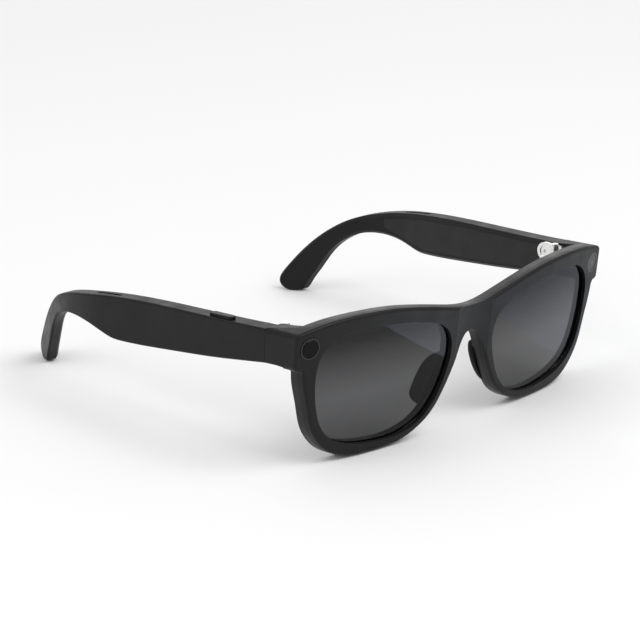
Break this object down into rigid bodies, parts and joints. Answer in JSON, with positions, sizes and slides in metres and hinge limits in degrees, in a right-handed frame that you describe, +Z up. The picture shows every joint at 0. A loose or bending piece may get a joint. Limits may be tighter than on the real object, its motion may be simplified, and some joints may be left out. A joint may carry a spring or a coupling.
{
  "type": "smart glasses",
  "caption": "Camera smart glasses with tinted lenses in a thick dark frame and wide folding temples that hold the electronics.",
  "frame": {"origin": "middle of the bounding box on the surface that the glasses stand on", "axes": "+X across the face towards the wearer's left, +Y back along the temples, +Z up"},
  "size_m": [0.157, 0.1491, 0.0487],
  "materials": {
    "matt_shell": "fine matt black moulded shell",
    "rear_shell": "smooth black moulded shell",
    "inner_cover": "matt black inner cover",
    "tinted_lens": "grey tinted polished lens",
    "nose_pad": "soft black silicone",
    "hinge_steel": "bright satin steel",
    "dark_glass": "polished black window",
    "black_ring": "satin black ring",
    "module_black": "black camera housing",
    "light_diffuser": "smoky grey light window",
    "board": "green circuit board",
    "flex_film": "amber flexible film",
    "cell_wrap": "silver pouch cell",
    "speaker_body": "black speaker box",
    "vent_mesh": "black acoustic mesh",
    "switch_body": "small switch",
    "contact_base": "black contact base",
    "gold_contact": "gold plated contact",
    "button": "satin black button"
  },
  "bodies": {
    "front": {"front_frame": "matt_shell", "rear_frame": "rear_shell", "lens_left": "tinted_lens", "lens_right": "tinted_lens", "nose_pad_left": "nose_pad", "nose_pad_right": "nose_pad", "brow_flex": "flex_film", "camera_ring": "black_ring", "camera_window": "dark_glass", "camera_module": "module_black", "light_window": "light_diffuser", "light_ring": "black_ring", "light_board": "board", "front_leaf_left": "hinge_steel", "front_leaf_right": "hinge_steel", "front_leaf_screw_left": "hinge_steel", "front_leaf_screw_right": "hinge_steel", "hinge_pin_left": "hinge_steel", "hinge_pin_right": "hinge_steel"},
    "temple_right": {"temple_shell_right": "matt_shell", "temple_cover_right": "inner_cover", "temple_leaf_right": "hinge_steel", "round_screw_right": "hinge_steel", "vent_insert_right": "vent_mesh", "battery_right": "cell_wrap", "circuit_board_right": "board", "speaker_right": "speaker_body", "tact_switch": "switch_body", "touch_sensor": "flex_film", "contact_base": "contact_base", "contact_pins": "gold_contact"},
    "temple_left": {"temple_shell_left": "matt_shell", "temple_cover_left": "inner_cover", "temple_leaf_left": "hinge_steel", "round_screw_left": "hinge_steel", "vent_insert_left": "vent_mesh", "battery_left": "cell_wrap", "circuit_board_left": "board", "speaker_left": "speaker_body"},
    "capture_button": {"capture_button": "button"}
  },
  "joints": [
    {"name": "temple_left_fold", "type": "hinge", "parent": "front", "child": "temple_left", "pos_m": [0.0658, -0.0539, 0.0411], "axis": [0, 0, 1], "range_deg": [0, 89]},
    {"name": "temple_right_fold", "type": "hinge", "parent": "front", "child": "temple_right", "pos_m": [-0.0658, -0.0539, 0.0411], "axis": [0, 0, -1], "range_deg": [0, 74]},
    {"name": "capture_button_press", "type": "slide", "parent": "temple_right", "child": "capture_button", "axis": [0, -0.075, -0.9972], "range_m": [0, 0.0005], "stiffness_N_per_m": 300, "springref_m": -0.002}
  ]
}
